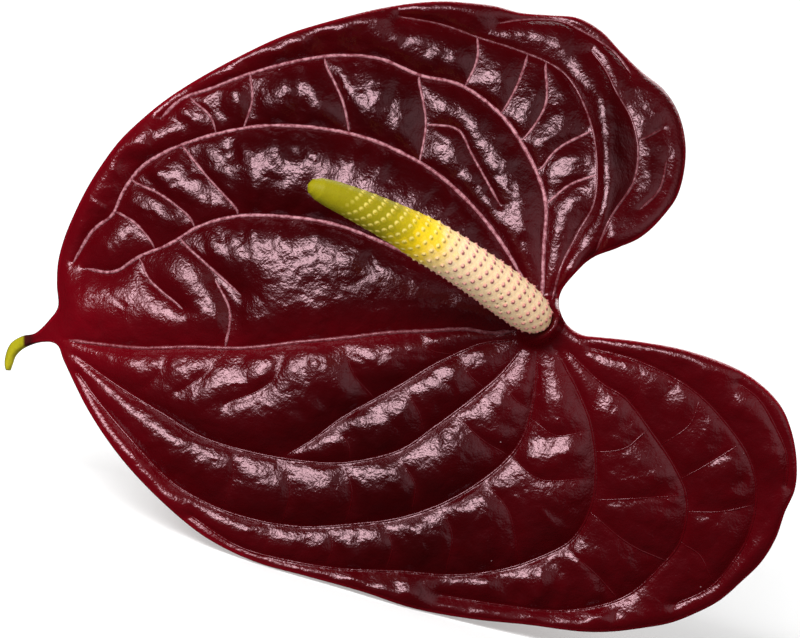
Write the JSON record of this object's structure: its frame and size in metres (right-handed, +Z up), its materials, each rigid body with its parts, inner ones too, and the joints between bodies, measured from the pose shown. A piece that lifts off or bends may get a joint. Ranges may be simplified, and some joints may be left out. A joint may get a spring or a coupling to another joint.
{
  "type": "cut anthurium flower",
  "caption": "Cut flower with a heart-shaped, deeply veined burgundy blade, a leaning tapered spadix and a long plain stem, lying at rest on a surface.",
  "frame": {"origin": "bottom centre of the bounding box, on the surface that the flower lies on", "axes": "+Z up from the surface; +Y runs back from the face of the blade along the stem to the cut end; +X to the right as the blade is seen from the front"},
  "size_m": [0.1438, 0.3404, 0.1079],
  "materials": {
    "spathe": "waxy gloss",
    "spadix": "satin",
    "stem": "satin"
  },
  "bodies": {
    "root": {"spathe": "spathe", "spadix": "spadix", "stem": "stem"}
  },
  "joints": []
}
